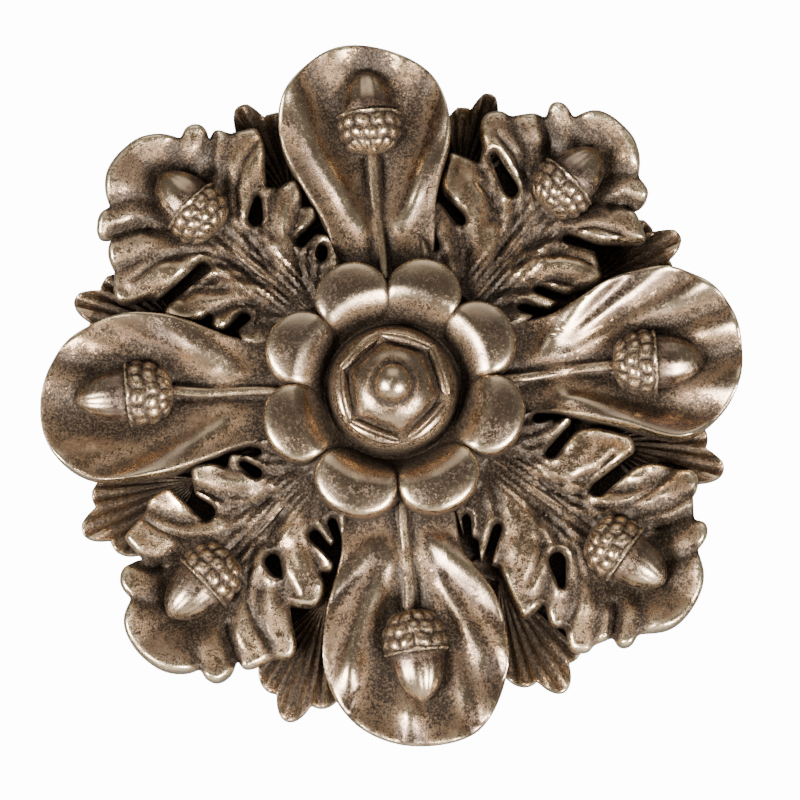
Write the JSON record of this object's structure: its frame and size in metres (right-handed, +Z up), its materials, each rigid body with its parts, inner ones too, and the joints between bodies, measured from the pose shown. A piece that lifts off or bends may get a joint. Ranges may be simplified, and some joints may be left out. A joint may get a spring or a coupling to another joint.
{
  "type": "cast flower wall ornament",
  "caption": "Round cast wall rosette: acorn-bearing plain and oak leaves over fluted fans, round a ring of petals and a domed boss, with a flat back.",
  "frame": {"origin": "Centre of the flat back disc, on the wall plane.", "axes": "+Z up the wall, -Y out of the wall towards the viewer, +Y into the wall, +X to the viewer's right."},
  "size_m": [0.1907, 0.0402, 0.1917],
  "materials": {
    "bronze_leaf": "Antiqued bronze leaf over a dark ground: rubbed to pale metal on the highs, near-black and speckled in the hollows."
  },
  "bodies": {
    "root": {"rosette_casting": "bronze_leaf"}
  },
  "joints": []
}
